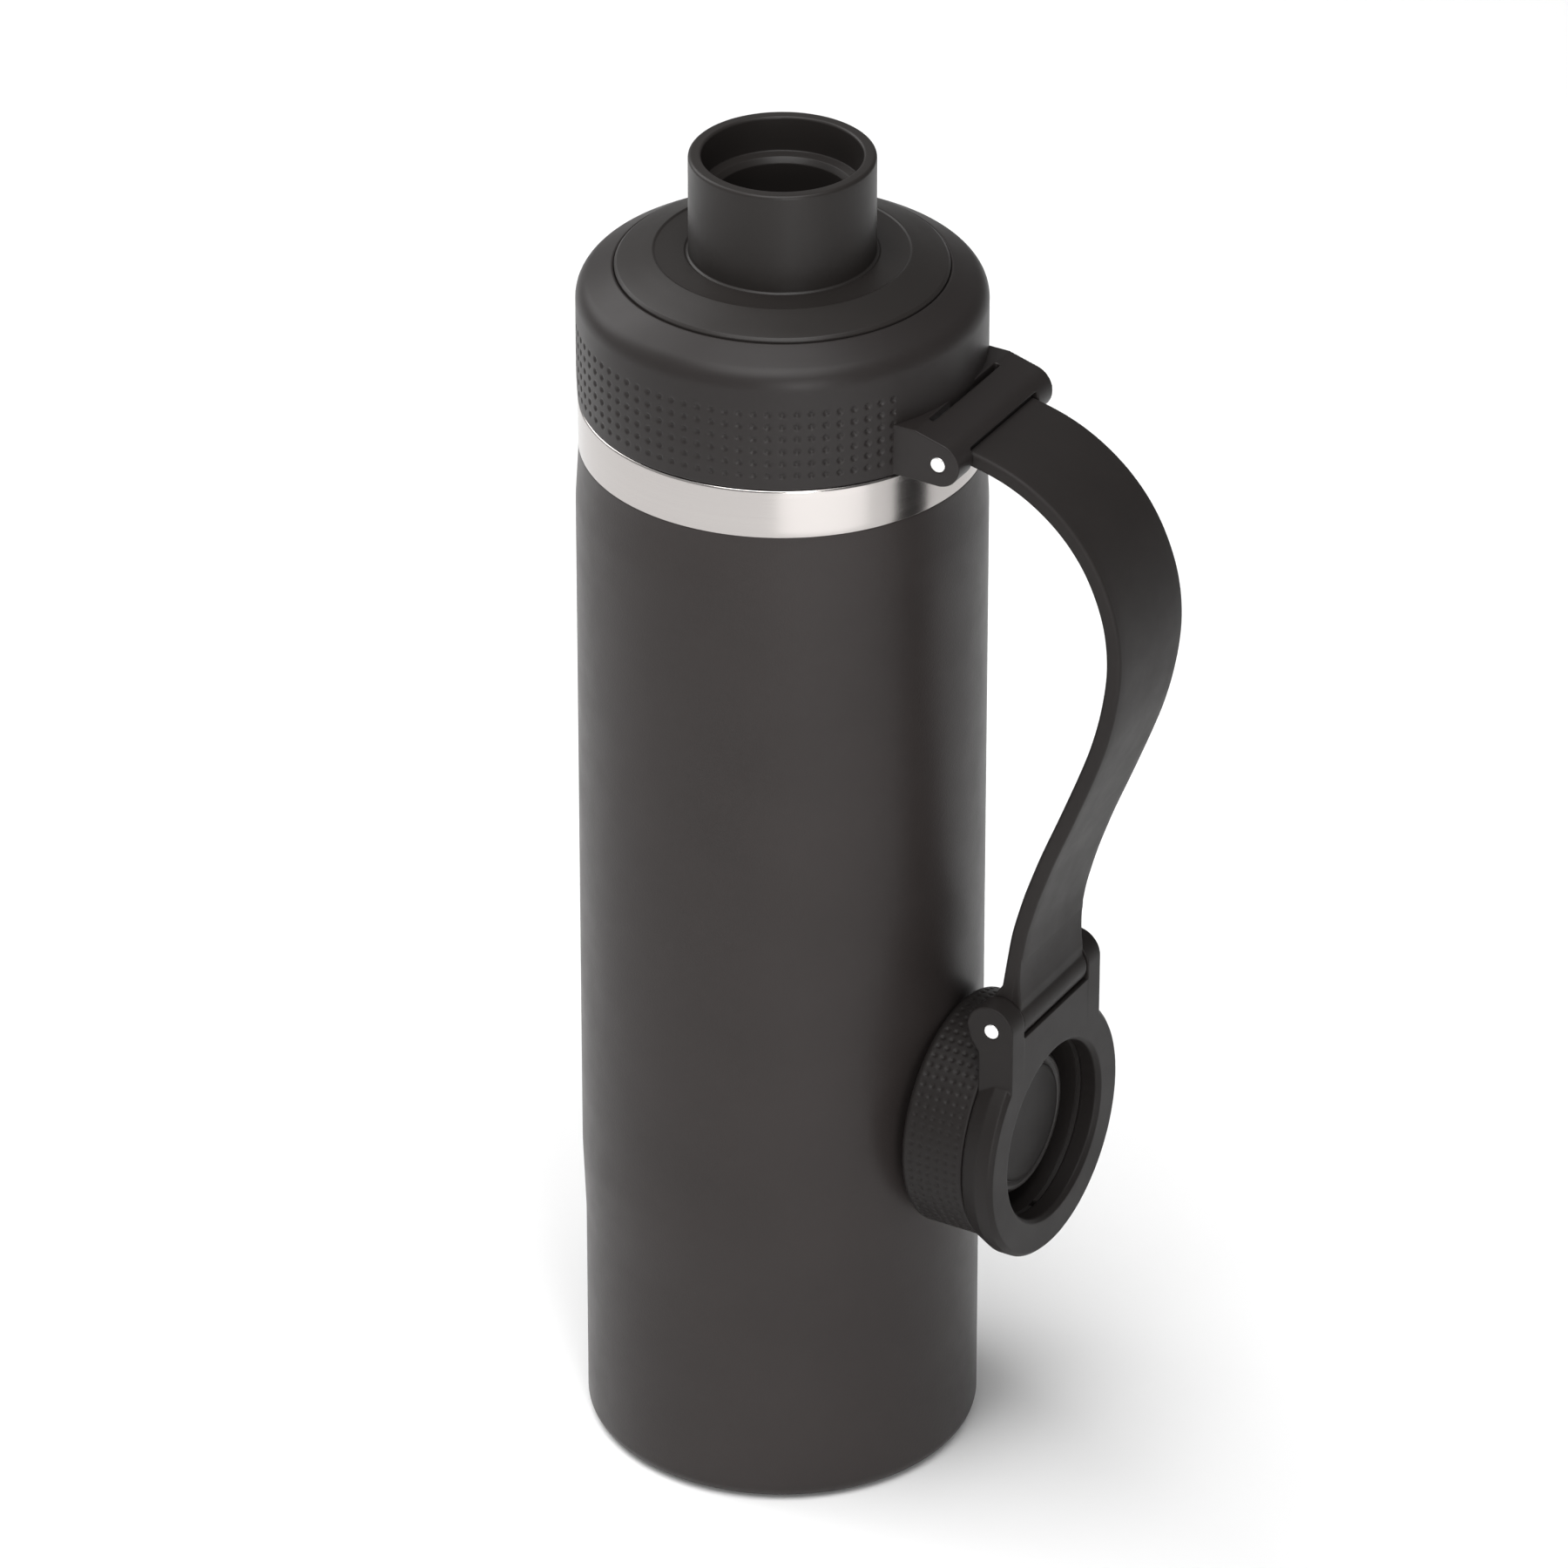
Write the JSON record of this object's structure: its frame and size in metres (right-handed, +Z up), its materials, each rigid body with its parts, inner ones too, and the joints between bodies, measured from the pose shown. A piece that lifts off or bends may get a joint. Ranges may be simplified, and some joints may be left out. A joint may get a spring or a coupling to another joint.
{
  "type": "insulated water bottle",
  "caption": "Double-walled steel water bottle with a screw lid, a drinking spout and a screw cap that hangs from a flexible hinged strap.",
  "frame": {"origin": "centre of the base, where the bottle stands", "axes": "+Z up along the bottle's axis, +X towards the side where the strap hangs, the hinge pins lie along Y"},
  "size_m": [0.1138, 0.075, 0.2644],
  "materials": {
    "coated_steel": "satin fine powder coat",
    "bare_steel": "turned and polished",
    "inner_steel": "electropolished",
    "getter": "sintered metal",
    "lid_plastic": "fine moulded texture",
    "spout_plastic": "fine moulded texture",
    "inner_plastic": "moulded",
    "strap_rubber": "matt elastomer",
    "cap_plastic": "fine moulded texture",
    "pin_steel": "bright",
    "seal": "silicone"
  },
  "bodies": {
    "bottle": {"outer_shell": "coated_steel", "neck_band": "bare_steel", "inner_liner": "inner_steel", "base_plate": "coated_steel", "base_seal_plug": "inner_steel", "getter": "getter"},
    "seal_ring": {"lid_gasket": "seal"},
    "lid": {"lid_shell": "lid_plastic", "lid_plug": "inner_plastic", "spout": "spout_plastic", "spout_seal": "seal", "lid_hinge_pin": "pin_steel"},
    "strap_a": {"strap_root": "strap_rubber"},
    "strap_b": {"strap_upper": "strap_rubber"},
    "strap_c": {"strap_lower": "strap_rubber"},
    "strap_d": {"strap_end": "strap_rubber"},
    "cap_collar": {"cap_ring": "cap_plastic", "cap_hinge_pin": "pin_steel"},
    "cap_knob": {"cap_shell": "cap_plastic", "cap_retainer": "pin_steel", "cap_plug": "inner_plastic", "cap_gasket": "seal", "cap_face_seal": "inner_plastic"}
  },
  "joints": [
    {"name": "lid_lift", "type": "slide", "parent": "bottle", "child": "seal_ring", "axis": [0, 0, 1], "range_m": [0, 0.015]},
    {"name": "lid_turn", "type": "hinge", "parent": "seal_ring", "child": "lid", "pos_m": [0, 0, 0.216], "axis": [0, 0, 1], "range_deg": [0, 450]},
    {"name": "strap_swing", "type": "hinge", "parent": "lid", "child": "strap_a", "pos_m": [0.04175, 0, 0.2208], "axis": [0, -1, 0], "range_deg": [0, 12.7]},
    {"name": "strap_bend_top", "type": "hinge", "parent": "strap_a", "child": "strap_b", "pos_m": [0.0668, 0, 0.2085], "axis": [0, -1, 0], "range_deg": [0, 85.6], "stiffness_Nm_per_rad": 0.05},
    {"name": "strap_bend_mid", "type": "hinge", "parent": "strap_b", "child": "strap_c", "pos_m": [0.0743, 0, 0.192], "axis": [0, -1, 0], "range_deg": [0, 85.6], "stiffness_Nm_per_rad": 0.05},
    {"name": "strap_bend_low", "type": "hinge", "parent": "strap_c", "child": "strap_d", "pos_m": [0.0702, 0, 0.1633], "axis": [0, -1, 0], "range_deg": [0, 86.1], "stiffness_Nm_per_rad": 0.05},
    {"name": "cap_swing", "type": "hinge", "parent": "strap_d", "child": "cap_collar", "pos_m": [0.0536, 0, 0.106], "axis": [0, 1, 0], "range_deg": [-70, 0]},
    {"name": "cap_turn", "type": "hinge", "parent": "cap_collar", "child": "cap_knob", "pos_m": [0.051, 0, 0.077], "axis": [1, 0, 0], "continuous": true}
  ],
  "couplings": [
    {"joint": "lid_lift", "follows": "lid_turn", "m_per_rad": 0.0019098}
  ]
}
